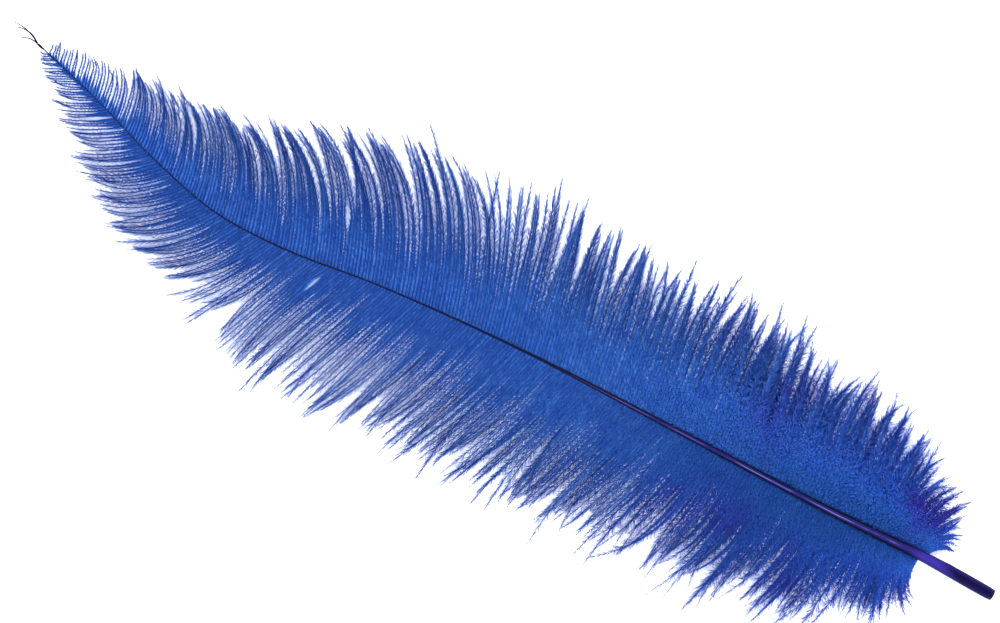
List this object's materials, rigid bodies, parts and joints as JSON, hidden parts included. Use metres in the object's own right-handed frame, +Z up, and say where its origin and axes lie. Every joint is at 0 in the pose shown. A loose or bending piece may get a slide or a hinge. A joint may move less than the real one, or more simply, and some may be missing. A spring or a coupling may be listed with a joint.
{
  "type": "ostrich feather",
  "caption": "Blue dyed ostrich wing plume lying flat: a bare cut quill, a tapering curved shaft and two full vanes of loose fluffy barbs.",
  "frame": {"origin": "middle of the underside of the feather's box, on the surface that it lies on", "axes": "+X along the chord from the shaft's tip to the cut end of the quill, +Y towards the left vane, +Z up"},
  "size_m": [0.3802, 0.1088, 0.0114],
  "materials": {
    "keratin": "satin",
    "flue": "matte"
  },
  "bodies": {
    "root": {"shaft": "keratin", "vane_left": "flue", "vane_right": "flue"}
  },
  "joints": []
}
